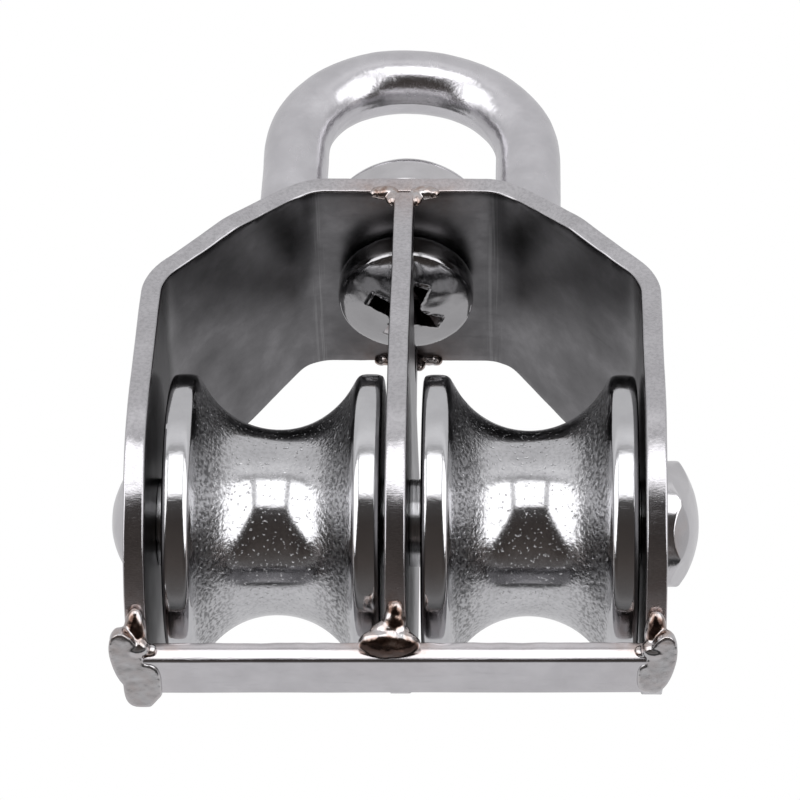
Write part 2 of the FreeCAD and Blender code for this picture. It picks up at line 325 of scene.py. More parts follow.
def filled(borders, spacing):
    """Points and triangles that fill the first border, less the others."""
    low, high = borders[0].min(axis=0), borders[0].max(axis=0)
    rows = np.arange(low[1], high[1], spacing * 0.866)
    columns = np.arange(low[0], high[0], spacing)
    inner = np.array([(x + spacing / 2 * (k % 2), y) for k, y in enumerate(rows) for x in columns])
    keep = inside(inner, borders[0])
    for border in borders[1:]:
        keep &= ~inside(inner, border)
    rim = np.vstack(borders)
    tree = kdtree.KDTree(len(rim))
    for index, (x, y) in enumerate(rim):
        tree.insert((x, y, 0), index)
    tree.balance()
    inner = np.array([p for p in inner[keep] if tree.find((*p, 0))[2] > spacing / 2]).reshape(-1, 2)
    edges = []
    start = 0
    for border in borders:
        count = len(border)
        edges += [(start + k, start + (k + 1) % count) for k in range(count)]
        start += count
    places = [Vector(p) for p in np.vstack([rim, inner])]
    flat, _, triangles, *_ = geometry.delaunay_2d_cdt(places, edges, [], 1, 1e-7)
    flat = np.array(flat)
    triangles = np.array(triangles)
    middles = flat[triangles].mean(axis=1)
    keep = inside(middles, borders[0])
    for border in borders[1:]:
        keep &= ~inside(middles, border)
    return flat, triangles[keep]


def rim_stations(thickness, rounding):
    """Inset and height of each line of points down a rim, from the upper face to the lower."""
    turn = np.linspace(0, math.pi / 2, 5)
    inset = rounding * (1 - np.sin(turn))
    drop = thickness / 2 - rounding * (1 - np.cos(turn))
    side = np.linspace(drop[-1], -drop[-1], 6)[1:-1]
    insets = np.concatenate([inset, np.zeros(len(side)), inset[::-1]])
    return list(zip(insets, np.concatenate([drop, side, -drop[::-1]])))


def sheet(loops, thickness, rounding, spacing, place):
    """Plate on the left of its loops, with rounded rims, set in space by place(u, v, height)."""
    stations = rim_stations(thickness, rounding)
    points, faces, cut, borders = [], [], [], []
    for loop in loops:
        ahead = np.roll(loop, -1, axis=0) - np.roll(loop, 1, axis=0)
        ahead /= np.linalg.norm(ahead, axis=1)[:, None]
        inward = np.column_stack([-ahead[:, 1], ahead[:, 0]])
        faces += grid_faces(len(stations), len(loop), len(points))
        for inset, height in stations:
            points += [(u, v, height) for u, v in loop + inward * inset]
            cut += [1 - inset / rounding] * len(loop)
        borders.append(loop + inward * rounding)
    flat, triangles = filled(borders, spacing)
    for height in (thickness / 2, -thickness / 2):
        faces += (triangles + len(points)).tolist()
        points += [(u, v, height) for u, v in flat]
        cut += [0.0] * len(flat)
    points = np.array(points)
    # Faces on the lower side count as inner; the sheet material paints shade on them.
    inner = (points[:, 2] < 0).astype(float)
    return solid(place(*points.T), faces, cut=cut, inner=inner)


def sawn(mesh, seed):
    """Plate whose rims wave slightly across their width, as sawing and deburring leave them."""
    places = points_of(mesh)
    cut = np.empty(len(places))
    mesh.attributes["cut"].data.foreach_get("value", cut)
    return swell(mesh, cut * (0.035 * lumps(places * (1, 0.25, 0.25), 0.8, seed) - 0.035))


def hammered(mesh, centre, blows):
    """Flattens a head where blows, each a direction and a depth, met it."""
    places = points_of(mesh)
    for direction, reach in blows:
        direction = np.array(direction) / np.linalg.norm(direction)
        excess = (places - centre) @ direction - reach
        places = places - np.clip(excess, 0, None)[:, None] * direction
    return move_points(mesh, places)


# ---------------------------------------------------------------- pieces

def heat_of(points):
    """How hot each point was while the block was welded, from 0 to 1."""
    heat = np.zeros(len(points))
    for name in WELD_NODES:
        low, high = box_mm(name)
        away = np.maximum(np.maximum(low - points, points - high), 0)
        reach = 2.4 if "divider" in name else 2.2
        heat = np.maximum(heat, np.exp(-(np.linalg.norm(away, axis=1) / reach) ** 1.5))
    return heat * np.clip((points[:, 2] - BAR_LOW[2] - 0.1) / 0.5, 0.12, 1)


def finish_piece(mesh, node, slot, sharp=35, heat=None):
    """Places a mesh as the finished piece that stands for a CAD node, with its heat tint marked; on the bar welds
    that value also carries painted shade.
    """
    points = points_of(mesh)
    mark(mesh, "heat_tint_and_shade", heat_of(points) if heat is None else heat)
    move_points(mesh, points * MM + np.array(AXLE))
    mesh.shade_smooth()
    mesh.set_sharp_from_angle(angle=math.radians(sharp))
    mesh.materials.clear()
    mesh.materials.append(MATERIALS[slot])
    mesh.name = f"{node}_finished"
    piece = bpy.data.objects.new(f"{node}_finished", mesh)
    bpy.context.scene.collection.objects.link(piece)
    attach(piece, BODY_OF[node])
    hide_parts(node)
    return piece


def taper(half_width, height):
    """Angle of a straight edge from the lobe's tangent point to half_width at height."""
    reach = math.hypot(half_width, height)
    return math.atan2(height, half_width) - math.acos(LOBE_RADIUS / reach)


def strap_path():
    """Length, x, z and heading of the strap's middle line, from the middle of the web to a lobe's tip."""
    step = 0.01
    middle = SHEET / 2
    slope = math.atan2(WEB_HEIGHT - CHEEK_CORNER_HEIGHT, HALF_GAP - WEB_CORNER)
    rest = math.pi / 2 - slope
    first = np.array([WEB_CORNER + middle * math.tan(slope / 2), WEB_HEIGHT + middle])
    second = np.array([HALF_GAP + middle, CHEEK_CORNER_HEIGHT + middle * math.tan(rest / 2)])
    radius = BEND_RADIUS + middle
    cut_first, cut_second = radius * math.tan(slope / 2), radius * math.tan(rest / 2)
    runs = [(first[0] - cut_first, 0), (radius * slope, 1 / radius),
            (np.linalg.norm(second - first) - cut_first - cut_second, 0), (radius * rest, 1 / radius),
            (second[1] - cut_second + LOBE_RADIUS, 0)]
    rates = np.concatenate([np.full(round(length / step), rate) for length, rate in runs])
    heading = np.concatenate([[0], np.cumsum(rates) * step])
    x = np.concatenate([[0], np.cumsum(np.cos(heading[:-1])) * step])
    z = first[1] - np.concatenate([[0], np.cumsum(np.sin(heading[:-1])) * step])
    return np.arange(len(x)) * step, x, z, heading


def make_strap():
    """Folded strip with a round lobe at each end, holes for the rivet and the screw, and sawn rims."""
    length, x, z, heading = strap_path()
    shoulder = math.hypot(HALF_GAP - WEB_CORNER, WEB_HEIGHT - CHEEK_CORNER_HEIGHT)
    angle = taper(WEB_DEPTH / 2, CHEEK_CORNER_HEIGHT + shoulder)
    corner_width = LOBE_RADIUS / math.cos(angle) - CHEEK_CORNER_HEIGHT * math.tan(angle)
    axle_at = np.interp(0, -z, length)
    touch = LOBE_RADIUS * math.sin(angle)
    along = np.arange(0, axle_at - touch, 0.35)
    heights = [-WEB_HEIGHT, -SHOULDER_HEIGHT, -CHEEK_CORNER_HEIGHT, -touch]
    widths = [WEB_DEPTH / 2, SHOULDER_DEPTH / 2, corner_width, LOBE_RADIUS * math.cos(angle)]
    width = np.interp(-np.interp(along, length, z), heights, widths)
    lobe = arc((axle_at, 0), LOBE_RADIUS, -90 - math.degrees(angle), 90 + math.degrees(angle), 130)
    quarter = np.column_stack([along, width])[::-1]
    upper = np.vstack([lobe, quarter, quarter[-2::-1] * (-1, 1)])
    loop = softened(np.vstack([upper, -upper]), 0.36, 0.3)
    loop = loop * (1 + 0.0012 * lumps(np.column_stack([loop, loop[:, 0] * 0]), 2.5, 3)[:, None] - 0.0012)
    holes = [arc((place, 0), HOLE_RADIUS, 360, 3, 120) for place in (axle_at, -axle_at, 0)]

    def folded(along, across, height):
        side = np.sign(along)
        reach = np.abs(along)
        turn = np.interp(reach, length, heading)
        flat = np.column_stack([along, across, along * 0])
        height = height + 0.03 * lumps(flat, 7.0, 1) + 0.012 * lumps(flat, 2.6, 2)
        out = np.interp(reach, length, x) + height * np.sin(turn)
        up = np.interp(reach, length, z) + height * np.cos(turn)
        askew = STRAP_ASKEW * np.exp(-((up - ASKEW_HEIGHT) / 6) ** 2)
        return np.column_stack([side * out, across + askew, up])

    mesh = sawn(sheet([loop, *holes], SHEET, SHEET_ROUND, 0.62, folded), 34)
    mesh = hammered(mesh, np.zeros(3), [LOBE_FLAT])
    places = points_of(mesh)
    fold = WEB_CORNER - 0.9
    mark(mesh, "fold", np.exp(-((np.abs(places[:, 0]) - fold) / 0.5) ** 2))
    return finish_piece(mesh, "frame_strap", "sheet_steel")


def make_plate():
    """Divider with a round lobe, and a window that leaves room for the screw head."""
    angle = taper(WEB_DEPTH / 2, WEB_HEIGHT)
    tilt = math.degrees(angle)
    lobe = arc((0, 0), LOBE_RADIUS, 180 - tilt, 360 + tilt, 150)
    floor = WEB_HEIGHT - WINDOW_DEPTH + WINDOW_ROUND
    side = WINDOW_HALF - WINDOW_ROUND
    window = np.vstack([[(WINDOW_HALF, WEB_HEIGHT)], arc((side, floor), WINDOW_ROUND, 360, 270, 12),
                        arc((-side, floor), WINDOW_ROUND, 270, 180, 12), [(-WINDOW_HALF, WEB_HEIGHT)]])
    leg = WEB_DEPTH / 2
    loop = softened(np.vstack([lobe, [(leg, WEB_HEIGHT)], window, [(-leg, WEB_HEIGHT)]]), 0.34, 0.16)
    hole = arc((0, 0), HOLE_RADIUS, 360, 3, 120)

    def placed(y, z, height):
        flat = np.column_stack([y, z, y * 0])
        height = height + 0.03 * lumps(flat, 8.0, 4) + 0.01 * lumps(flat, 2.4, 5)
        lean = DIVIDER_LEAN * np.clip(y - DIVIDER_LEAN_START, 0, None)
        lean = lean * np.clip((WEB_HEIGHT - 6 - z) / 8, 0, 1)
        return np.column_stack([height + lean, y, z])

    mesh = sawn(sheet([loop, hole], SHEET, SHEET_ROUND, 0.7, placed), 33)
    mesh = hammered(mesh, np.zeros(3), [LOBE_FLAT])
    # Both faces of the divider count as inner, so both get the sheet material's painted shade.
    mesh.attributes["inner"].data.foreach_set("value", [1.0] * len(mesh.vertices))
    return finish_piece(mesh, "centre_plate", "sheet_steel")


def make_bar():
    """Sheared flat bar: its front edge leans back towards the lower face, with a thin burr above."""
    low, high = BAR_LOW, BAR_HIGH
    drop = np.linspace(0, 1, 14)
    front = np.column_stack([low[1] + BAR_FRONT_LEAN * drop ** 2.5, high[2] - (high[2] - low[2]) * drop])
    rear = [(high[1] - 0.25, low[2]), (high[1], low[2] + 0.3), (high[1], high[2])]
    profile = softened(np.vstack([front, rear]), 0.06, 0.09)
    stations = np.concatenate([[low[0], low[0] + 0.15], np.arange(low[0] + 0.4, high[0] - 0.3, 0.22),
                               [high[0] - 0.15, high[0]]])
    count = len(profile)
    x = np.repeat(stations, count)
    y = np.tile(profile[:, 0], len(stations))
    z = np.tile(profile[:, 1], len(stations))
    places = np.column_stack([x, y, z])
    faces = grid_faces(len(stations), count)
    faces.append(list(range(count)))
    faces.append(list(range(len(places) - count, len(places))))
    mesh = solid(places, faces)
    places = points_of(mesh)
    near_top = np.exp(-((places[:, 2] - high[2]) / 0.35) ** 2) * (places[:, 1] < low[1] + 0.6)
    burr = 0.03 + 0.05 * lumps(places * (1, 0.2, 0.2), 1.6, 7)
    inset = 0.02 + 0.02 * lumps(places, 5.0, 6) + near_top * burr
    mesh = swell(mesh, -np.maximum(inset, 0))
    places = points_of(mesh)
    mesh = move_points(mesh, places - np.outer(places[:, 0], (0, BAR_YAW, 0)))
    in_front = np.clip((low[1] + 0.5 - places[:, 1]) / 0.3, 0, 1)
    return finish_piece(mesh, "bottom_bar", "sheet_steel", 50, np.maximum(heat_of(places), 0.25 * in_front))


def make_sheave(side_name):
    """Cast sheave: two round-edged rims, a polished groove floor and pitted flanks."""
    node = f"sheave_{side_name}"
    low, high = box_mm(node)
    centre = (low[0] + high[0]) / 2
    half = (high[0] - low[0]) / 2
    rim = high[1]
    bore = BUSH_RADIUS + BORE_CLEARANCE
    middle = ROOT_RADIUS + GROOVE_RADIUS
    mouth = math.sqrt(GROOVE_RADIUS ** 2 - (middle - rim) ** 2)
    reach = math.degrees(math.asin(mouth / GROOVE_RADIUS))
    groove = arc((0, middle), GROOVE_RADIUS, 270 + reach, 270 - reach, 90)
    profile = np.vstack([[(-half, bore), (half, bore), (half, rim)], groove, [(-half, rim)]])
    profile = softened(profile, 0.16, 0.46)
    profile[:, 1] = np.maximum(profile[:, 1], bore)
    mesh = turned(profile + (centre, 0), 420, "X", closed=True)
    places = points_of(mesh)
    radius = np.hypot(places[:, 1], places[:, 2])
    flank = np.clip((np.abs(places[:, 0] - centre) - 2.6) / 2.6, 0, 1)
    flank *= np.clip((rim - 0.55 - radius) / 0.8, 0, 1)
    outside = (radius > bore + 0.4) * (np.abs(places[:, 0] - centre) < half - 0.25)
    seed = 11 if side_name == "left" else 12
    rough = 0.007 * lumps(places, 0.45, seed) + 0.009 * lumps(places, 1.3, seed + 2)
    wave = 0.022 * lumps(places, 4.5, seed + 4)
    mesh = swell(mesh, outside * (wave - 0.024 + flank * (rough - 0.01)))
    rope_side = np.clip((rim - 0.6 - radius) / 0.5, 0, 1) * (np.abs(places[:, 0] - centre) < mouth)
    mark(mesh, "grain", flank)
    mark(mesh, "rope_side", rope_side)
    return finish_piece(mesh, node, "cast_sheave_steel")


def make_bush(side_name):
    """Plain turned sleeve with broken edges."""
    node = f"bush_{side_name}"
    low, high = box_mm(node)
    profile = np.array([(low[0], HOLE_RADIUS), (high[0], HOLE_RADIUS),
                        (high[0], BUSH_RADIUS), (low[0], BUSH_RADIUS)])
    mesh = turned(softened(profile, 0.15, 0.08), 160, "X", closed=True)
    places = points_of(mesh)
    turnings = 0.006 * lumps(places * (1, 0.02, 0.02), 0.25, 8)
    outer = np.hypot(places[:, 1], places[:, 2]) > BUSH_RADIUS - 0.1
    return finish_piece(swell(mesh, outer * (turnings - 0.01)), node, "bush_steel")


def dome_profile(start, radius, rise, direction):
    """Outline of a spherical cap from its rim to its top, along the axis from start."""
    ball = (radius ** 2 + rise ** 2) / (2 * rise)
    reach = math.asin(min(1, radius / ball))
    turn = np.linspace(reach, 0, 40)
    return np.column_stack([start + direction * (rise - ball + ball * np.cos(turn)), ball * np.sin(turn)])


def make_rivet():
    """Axle rivet: a factory dome at the left and a hammered head at the right."""
    head = RIVET_HEAD_RADIUS
    left_rise = -OUTER_FACE - RIVET_LOW[0]
    right_rise = RIVET_HIGH[0] - OUTER_FACE
    left = dome_profile(-OUTER_FACE, head, left_rise, -1)[::-1]
    right = dome_profile(OUTER_FACE + RIVET_HEAD_SIDE, head, right_rise - RIVET_HEAD_SIDE, 1)
    shank = [(-OUTER_FACE, HOLE_RADIUS), (OUTER_FACE, HOLE_RADIUS), (OUTER_FACE, head)]
    profile = softened(np.vstack([left, shank, right]), 0.12, 0.13, closed=False)
    mesh = turned(profile, 220, "X")
    random = np.random.default_rng(5)
    blows = [((1, 0, 0), right_rise)]
    for ring, (tilt, count) in enumerate(((24, 4), (46, 7))):
        for k in range(count):
            turn = 2 * math.pi * (k + 0.4 * ring) / count + random.uniform(-0.2, 0.2)
            lean = math.radians(tilt + random.uniform(-4, 4))
            direction = (math.cos(lean), math.sin(lean) * math.cos(turn), math.sin(lean) * math.sin(turn))
            support = math.cos(lean) * (right_rise - RIVET_HEAD_SIDE) + math.sin(lean) * head * 0.78
            support += math.cos(lean) * RIVET_HEAD_SIDE
            blows.append((direction, support * random.uniform(0.86, 0.93)))
    mesh = hammered(mesh, np.array([OUTER_FACE, 0, 0]), blows)
    mesh = evaluated(mesh, ("SMOOTH", {"factor": 0.5, "iterations": 2}))
    places = points_of(mesh)
    heads = np.abs(places[:, 0]) > OUTER_FACE + 0.2
    mesh = swell(mesh, heads * (0.02 * lumps(places, 1.4, 9) - 0.03))
    return finish_piece(mesh, "axle_rivet", "rivet_steel")


def recess_outline():
    """Cross with round inner corners, seen along the screw."""
    span, wing = RECESS_HALF_SPAN, RECESS_HALF_WING
    corner = 1.05
    inner = arc((wing + corner, wing + corner), corner, 270, 180, 10)
    quarter = np.vstack([[(span, wing)], inner, [(wing, span)]])
    loop = []
    for turn in range(4):
        angle = turn * math.pi / 2 + RECESS_TURN
        spin = np.array([(math.cos(angle), -math.sin(angle)), (math.sin(angle), math.cos(angle))])
        loop.append(quarter @ spin.T)
    return resampled(np.vstack(loop), 0.12, True)


def make_screw():
    """Pan-head screw whose cross recess has driver burrs round it."""
    head = SCREW_HIGH[0]
    tip = SCREW_LOW[2]
    seat = WEB_HEIGHT
    crown = dome_profile(seat - SCREW_HEAD_SIDE, head, seat - SCREW_HEAD_SIDE - tip, -1)
    end = SCREW_HIGH[2]
    rest = [(seat - 0.7, head), (seat, head - 0.6), (seat, HOLE_RADIUS), (end - 0.4, HOLE_RADIUS),
            (end, HOLE_RADIUS - 0.4), (end, 0)]
    profile = softened(np.vstack([crown[::-1], rest]), 0.09, 0.42, closed=False)
    mesh = turned(profile, 360, "Z")
    outline = recess_outline()
    tree = kdtree.KDTree(len(outline))
    for index, (x, y) in enumerate(outline):
        tree.insert((x, y, 0), index)
    tree.balance()
    places = points_of(mesh)
    gap = np.array([tree.find((x, y, 0))[2] for x, y, _ in places])
    crown_side = places[:, 2] < seat - SCREW_HEAD_SIDE
    burr = np.exp(-(gap / 0.16) ** 2) * (0.09 + 0.11 * lumps(places, 0.5, 21))
    dents = 0.02 * lumps(places, 1.1, 22) - 0.035
    mesh = swell(mesh, crown_side * (dents + burr))
    levels = [(tip - 2.0, 1.12), (tip + 0.15, 1.0), (tip + 0.9, 0.88), (tip + RECESS_DEPTH, 0.42)]
    rings = np.vstack([np.column_stack([outline * scale, np.full(len(outline), z)]) for z, scale in levels])
    count = len(outline)
    faces = grid_faces(len(levels), count)
    faces.append(list(range(count)))
    faces.append(list(range(len(rings) - count, len(rings))))
    mesh = carved(mesh, solid(rings, faces))
    places = points_of(mesh)
    recessed = inside(places[:, :2], outline * 1.02) & (places[:, 2] < seat - 0.5)
    depth = np.clip((places[:, 2] - tip - 0.25) / 0.4, 0, 1) * recessed
    # The recess value sets where the screw's material paints shade.
    mark(mesh, "recess", depth)
    return finish_piece(mesh, "swivel_screw", "screw_steel", 32)


def make_barrel():
    """Barrel that the eye turns on, with a domed head inside the eye."""
    seat = BARREL_HIGH[2] - BARREL_HEAD_EDGE - BARREL_HEAD_DOME
    head = BARREL_HIGH[0]
    dome = dome_profile(seat + BARREL_HEAD_EDGE, head, BARREL_HEAD_DOME, 1)
    foot = [(BARREL_LOW[2] + 1.5, 0), (BARREL_LOW[2] + 1.5, HOLE_RADIUS), (BARREL_LOW[2], HOLE_RADIUS),
            (BARREL_LOW[2], BARREL_RADIUS), (seat, BARREL_RADIUS), (seat, head)]
    profile = softened(np.vstack([foot, dome]), 0.12, 0.14, closed=False)
    mesh = turned(profile, 260, "Z")
    places = points_of(mesh)
    mesh = swell(mesh, (places[:, 2] > seat + 0.3) * (0.02 * lumps(places, 2.2, 23) - 0.03))
    return finish_piece(mesh, "swivel_barrel", "rivet_steel")


def make_eye():
    """Cast eye: rod run together with its bored base, with a parting line down its inside."""
    leg = EYE_HIGH[0] - EYE_ROD
    top = EYE_HIGH[2] - EYE_ROD
    bottom = EYE_LOW[2]
    right = np.vstack([[(leg, bottom + 1.5)], arc((leg - EYE_BEND, top - EYE_BEND), EYE_BEND, 0, 90, 40)])
    line = resampled(np.vstack([right, right[::-1] * (-1, 1)]), 0.35, False)
    line = np.column_stack([line[:, 0], line[:, 0] * 0, line[:, 1]])
    rod = tube(line, (EYE_ROD, EYE_ROD))
    half_base = EYE_BASE_THICKNESS / 2
    capsule = np.vstack([arc((leg, 0), EYE_ROD, -90, 90, 24), arc((-leg, 0), EYE_ROD, 90, 270, 24)])
    ring = arc((0, 0), EYE_HIGH[1], 0, 356, 90)
    hole = arc((0, 0), BARREL_RADIUS + 0.18, 360, 4, 90)

    def level(x, y, height):
        return np.column_stack([x, y, height + bottom + half_base])

    base = sheet([resampled(capsule, 0.4, True), hole], EYE_BASE_THICKNESS, 0.5, 0.9, level)
    boss = sheet([ring, hole], EYE_BASE_THICKNESS, 0.5, 0.9, level)
    mesh = fused([rod, base, boss], 0.15, 7)
    places = points_of(mesh)
    inner = np.clip(1 - np.hypot(places[:, 0], places[:, 1]) / (BARREL_RADIUS + 0.6), 0, 1) > 0
    seam = np.exp(-(places[:, 1] / 0.16) ** 2) * (np.abs(places[:, 0]) < leg) * (places[:, 2] > bottom + 8)
    skin = 0.035 * lumps(places, 4.0, 31) + 0.012 * lumps(places, 1.3, 32) - 0.045 + 0.05 * seam
    mesh = swell(mesh, np.where(inner & (places[:, 2] < bottom + 6), 0, skin))
    places = points_of(mesh)
    rise = np.clip((places[:, 2] - bottom - EYE_BASE_THICKNESS) / (top - bottom), 0, 1)
    turn = np.array(Matrix.Rotation(EYE_TURN, 3, "Z"))
    lean = EYE_LEAN * rise ** 0.35 * (1 - 0.8 * rise ** 4)
    mesh = move_points(mesh, (places + np.outer(lean, (1, 0, 0))) @ turn.T)
    return finish_piece(mesh, "swivel_eye", "cast_eye_steel", 50)


def drop(centre, half_sizes, turn=(0, 0, 0), flats=(), roundness=1.0):
    """Drop of weld metal, ground flat where it reaches past planes, each a direction and a reach."""
    return hammered(ellipsoid(centre, half_sizes, turn, roundness), np.zeros(3), flats)


def make_weld(node, drops, voxel=0.09, rounds=8, ground_off=False):
    """Weld metal run together from drops, with a rippled skin; on the bar, heat-tinted darkest at its toe and with
    painted shade that darkens its downward faces.
    """
    mesh = fused(drops, voxel, rounds)
    places = points_of(mesh)
    seed = len(node) + sum(map(ord, node)) % 7
    skin = 0.04 * (lumps(places, 1.3, seed) + 0.7 * lumps(places, 0.5, seed + 1)) - 0.04
    heat = 0.4
    if "bar" in node:
        # Painted shade: downward faces get the darkest tint colours, on top of the heat tint.
        under = np.clip(-3.0 * normals_of(mesh)[:, 2] - 1.4, 0, 1)
        toe = np.clip((places[:, 2] - BAR_HIGH[2]) / 1.2, 0, 1)
        heat = np.clip(0.26 + 0.75 * under + 0.25 * toe, 0, 1)
    shield = np.ones(len(places))
    if ground_off:
        height = places[:, 2] - BAR_LOW[2] + GROUND_SLOPE * np.clip(places[:, 1] + 2, 0, None)
        shield = np.clip((height - 0.1) / 0.4, 0.1, 1)
    return finish_piece(swell(mesh, skin * shield), node, "weld_metal", 50, heat * shield)


def divider_drops(side, end):
    """Fillet between the divider and the web, with a bead at its toe."""
    y = end * (WEB_DEPTH / 2 - 0.3)
    return [drop((side * 1.75, y, WEB_HEIGHT + 0.05), (1.35, 0.6, 0.72)),
            drop((side * 1.05, y, WEB_HEIGHT - 0.55), (0.6, 0.5, 0.95)),
            drop((side * 2.5, y + end * 0.1, WEB_HEIGHT - 0.12), (0.62, 0.45, 0.5))]


def centre_drops():
    """Bead on the bar's front edge that runs up the divider's rim."""
    front, top = BAR_LOW[1], BAR_HIGH[2]
    return [drop((-0.5, front - 0.7, top - 0.75), (2.6, 1.55, 1.05)),
            drop((-0.4, front - 1.2, top - 0.25), (1.75, 1.35, 1.0), (-15, 0, 0)),
            drop((-0.1, front - 1.9, top + 0.25), (1.05, 1.5, 0.85), (-22, 0, 0)),
            drop((0.0, front - 2.9, top + 0.75), (0.8, 1.0, 0.6), (-30, 0, 0))]


def corner_drops(side):
    """Nugget on a lobe's tip and the bar's end, ground off below, and the bead down the lobe's rim."""
    front, top, bottom = BAR_LOW[1], BAR_HIGH[2], BAR_LOW[2]
    ground_below = ((0, -GROUND_SLOPE, -1), 0.15 - bottom)
    x = side * (OUTER_FACE - 0.9)
    outer, width = (OUTER_FACE - 0.2, 1.35) if side < 0 else (OUTER_FACE - 0.5, 1.25)
    drops = [drop((x, front - 1.4, top - 0.05), (0.95, 2.0, 0.85), (-25, 0, 0)),
             drop((x - side * 0.15, front - 0.4, top - 1.0), (1.05, 0.95, 0.8)),
             drop((x - side * 0.95, front, top - 0.9), (0.8, 0.5, 0.6)),
             drop((side * outer, front + 0.9, top - 1.2), (width, 3.4, 1.8), (0, 0, side * 10),
                  [ground_below], 0.9)]
    if side < 0:
        facets = [ground_below, ((0, 1, -0.2), 7.2), ((0.75, 0.5, -0.45), -5.6)]
        drops.append(drop((x + 0.35, front + 3.6, bottom + 0.35), (1.6, 2.6, 1.25), (0, 0, 0), facets, 0.6))
    else:
        drops.append(drop((x - 0.4, front + 2.4, bottom + 0.45), (1.1, 1.8, 1.0), (0, 0, 0),
                          [ground_below], 0.7))
    return drops


def make_welds():
    """Fillets at the ends of the divider, nuggets at the bar's corners and the bead on its middle."""
    for node in WELD_NODES:
        low, high = box_mm(node)
        side, end = np.sign((low + high)[:2])
        if "divider" in node:
            make_weld(node, divider_drops(side, end), 0.06, 3)
        elif "centre" in node:
            make_weld(node, centre_drops())
        else:
            make_weld(node, corner_drops(side), 0.08, 10, ground_off=True)


# ---------------------------------------------------------------- materials

def add(tree, kind, settings=None, **inputs):
    """New node of a kind, with its settings made and its inputs set or linked."""
    made = tree.nodes.new(kind)
    for name, value in (settings or {}).items():
        setattr(made, name, value)
    for name, value in inputs.items():
        key = int(name[1:]) if name[1:].isdigit() else name.replace("_", " ")
        if isinstance(value, bpy.types.NodeSocket):
            tree.links.new(value, made.inputs[key])
        else:
            made.inputs[key].default_value = value
    return made


def maths(tree, operation, first, second=0.0, third=0.0):
    """Output of a maths node."""
    return add(tree, "ShaderNodeMath", {"operation": operation}, i0=first, i1=second, i2=third).outputs[0]


def ramp(tree, value, stops, interpolation="LINEAR"):
    """Output of a colour ramp whose stops are (place, grey or colour)."""
    made = add(tree, "ShaderNodeValToRGB", Fac=value)
    elements = made.color_ramp.elements
    made.color_ramp.interpolation = interpolation
    while len(elements) < len(stops):
        elements.new(1.0)
    for element, (place, colour) in zip(elements, stops):
        element.position = place
        tone = (colour,) * 3 if isinstance(colour, (int, float)) else colour
        element.color = (*tone, 1.0)
    return made.outputs["Color"]


def mixed(tree, factor, first, second, kind="MIX"):
    """Output of a colour mix."""
    made = tree.nodes.new("ShaderNodeMix")
    made.data_type = "RGBA"
    made.blend_type = kind
    for key, value in (("Factor", factor), ("A", first), ("B", second)):
        socket = next(s for s in made.inputs if s.name == key and s.enabled)
        if isinstance(value, bpy.types.NodeSocket):
            tree.links.new(value, socket)
        else:
            socket.default_value = value if key == "Factor" else (*value, 1.0)
    return next(s for s in made.outputs if s.enabled)


def cloud(tree, place, scale, detail=3.0, roughness=0.55):
    """Noise value with that many lumps to a millimetre."""
    return add(tree, "ShaderNodeTexNoise", Vector=place, Scale=scale, Detail=detail,
               Roughness=roughness).outputs[0]


def stretched(tree, place, scale):
    """Coordinates stretched by a factor for each axis."""
    return add(tree, "ShaderNodeMapping", {"vector_type": "POINT"}, Vector=place, Scale=scale).outputs[0]


def attribute(tree, name):
    return add(tree, "ShaderNodeAttribute", {"attribute_name": name}).outputs["Fac"]


HEAT_COLOURS = [(0.0, (1.0, 1.0, 1.0)), (0.2, (0.98, 0.93, 0.91)), (0.4, (0.87, 0.75, 0.69)),
                (0.6, (0.58, 0.43, 0.36)), (0.8, (0.27, 0.17, 0.13)), (1.0, (0.13, 0.085, 0.07))]


def steel(name, tone, roughness, scratch_axes, scratch_depth, grain_depth=0.0, tint=0.0, patches=0.5):
    """Stainless steel with smudges, scratches, grain and heat tint; returns what a recipe adds to."""
    material = bpy.data.materials.new(name)
    material.use_nodes = True
    tree = material.node_tree
    shader = tree.nodes["Principled BSDF"]
    shader.inputs["Metallic"].default_value = 1.0
    place = add(tree, "ShaderNodeTexCoord").outputs["Object"]
    place = add(tree, "ShaderNodeVectorMath", {"operation": "SCALE"}, i0=place, Scale=1 / MM).outputs[0]
    smudge = cloud(tree, place, 0.35, 4.0)
    fine = cloud(tree, place, 7.0, 2.0)
    scratch = add(tree, "ShaderNodeTexNoise", Vector=stretched(tree, place, scratch_axes), Scale=1.0,
                  Detail=6.0, Roughness=0.75).outputs[0]
    lines = ramp(tree, scratch, [(0.36, 1.0), (0.43, 0.0), (0.6, 0.0), (0.68, 1.0)])
    # This value is heat tint, and on the bar welds also painted shade on their downward faces.
    heat = attribute(tree, "heat_tint_and_shade")
    heat = maths(tree, "MULTIPLY", heat, tint)
    blotch = maths(tree, "MULTIPLY_ADD", cloud(tree, place, 0.9, 4.0), patches * 2, -patches)
    strength = maths(tree, "MINIMUM", maths(tree, "MULTIPLY", heat, 3.0), 1.0)
    heat = maths(tree, "MULTIPLY_ADD", blotch, strength, heat)
    colour = mixed(tree, 1.0, tone, ramp(tree, heat, HEAT_COLOURS), "MULTIPLY")
    shade = ramp(tree, smudge, [(0.3, 0.86), (0.7, 1.0)])
    colour = mixed(tree, 1.0, colour, shade, "MULTIPLY")
    rough = maths(tree, "MULTIPLY_ADD", smudge, 0.12, roughness - 0.06)
    rough = maths(tree, "MULTIPLY_ADD", lines, 0.06, rough)
    rough = maths(tree, "MULTIPLY_ADD", heat, 0.1, rough)
    height = maths(tree, "MULTIPLY_ADD", lines, -scratch_depth, maths(tree, "MULTIPLY", fine, grain_depth))
    return {"material": material, "tree": tree, "shader": shader, "place": place, "colour": colour,
            "rough": rough, "height": height, "lines": lines, "smudge": smudge, "heat": heat}


